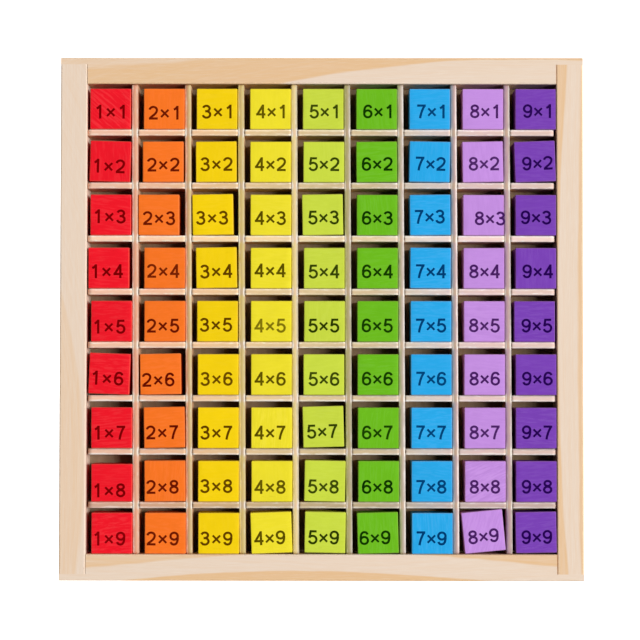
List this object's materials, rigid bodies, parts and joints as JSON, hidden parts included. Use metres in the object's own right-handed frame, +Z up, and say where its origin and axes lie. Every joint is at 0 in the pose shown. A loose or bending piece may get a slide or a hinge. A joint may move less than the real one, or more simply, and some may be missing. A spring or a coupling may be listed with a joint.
{
  "type": "multiplication block board",
  "caption": "Square pine tray with a grid of crossed plywood strips, holding a loose painted cube with a printed multiplication in each cell.",
  "frame": {"origin": "centre of the tray on the surface it rests on", "axes": "+Z up with the board lying flat, +X from the first column to the last, +Y towards the first row"},
  "size_m": [0.23, 0.23, 0.0242],
  "materials": {
    "pine": "sanded",
    "plywood": "sanded",
    "red_paint": "painted",
    "orange_paint": "painted",
    "amber_paint": "painted",
    "lemon_paint": "painted",
    "lime_paint": "painted",
    "green_paint": "painted",
    "blue_paint": "painted",
    "lilac_paint": "painted",
    "purple_paint": "painted"
  },
  "bodies": {
    "root": {"top_rail": "pine", "bottom_rail": "pine", "left_rail": "pine", "right_rail": "pine", "base_panel": "plywood", "column_divider_1": "plywood", "column_divider_2": "plywood", "column_divider_3": "plywood", "column_divider_4": "plywood", "column_divider_5": "plywood", "column_divider_6": "plywood", "column_divider_7": "plywood", "column_divider_8": "plywood", "row_divider_1": "plywood", "row_divider_2": "plywood", "row_divider_3": "plywood", "row_divider_4": "plywood", "row_divider_5": "plywood", "row_divider_6": "plywood", "row_divider_7": "plywood", "row_divider_8": "plywood", "red_blocks": "red_paint", "orange_blocks": "orange_paint", "amber_blocks": "amber_paint", "lemon_blocks": "lemon_paint", "lime_blocks": "lime_paint", "green_blocks": "green_paint", "blue_blocks": "blue_paint", "lilac_blocks": "lilac_paint", "purple_blocks": "purple_paint"}
  },
  "joints": []
}
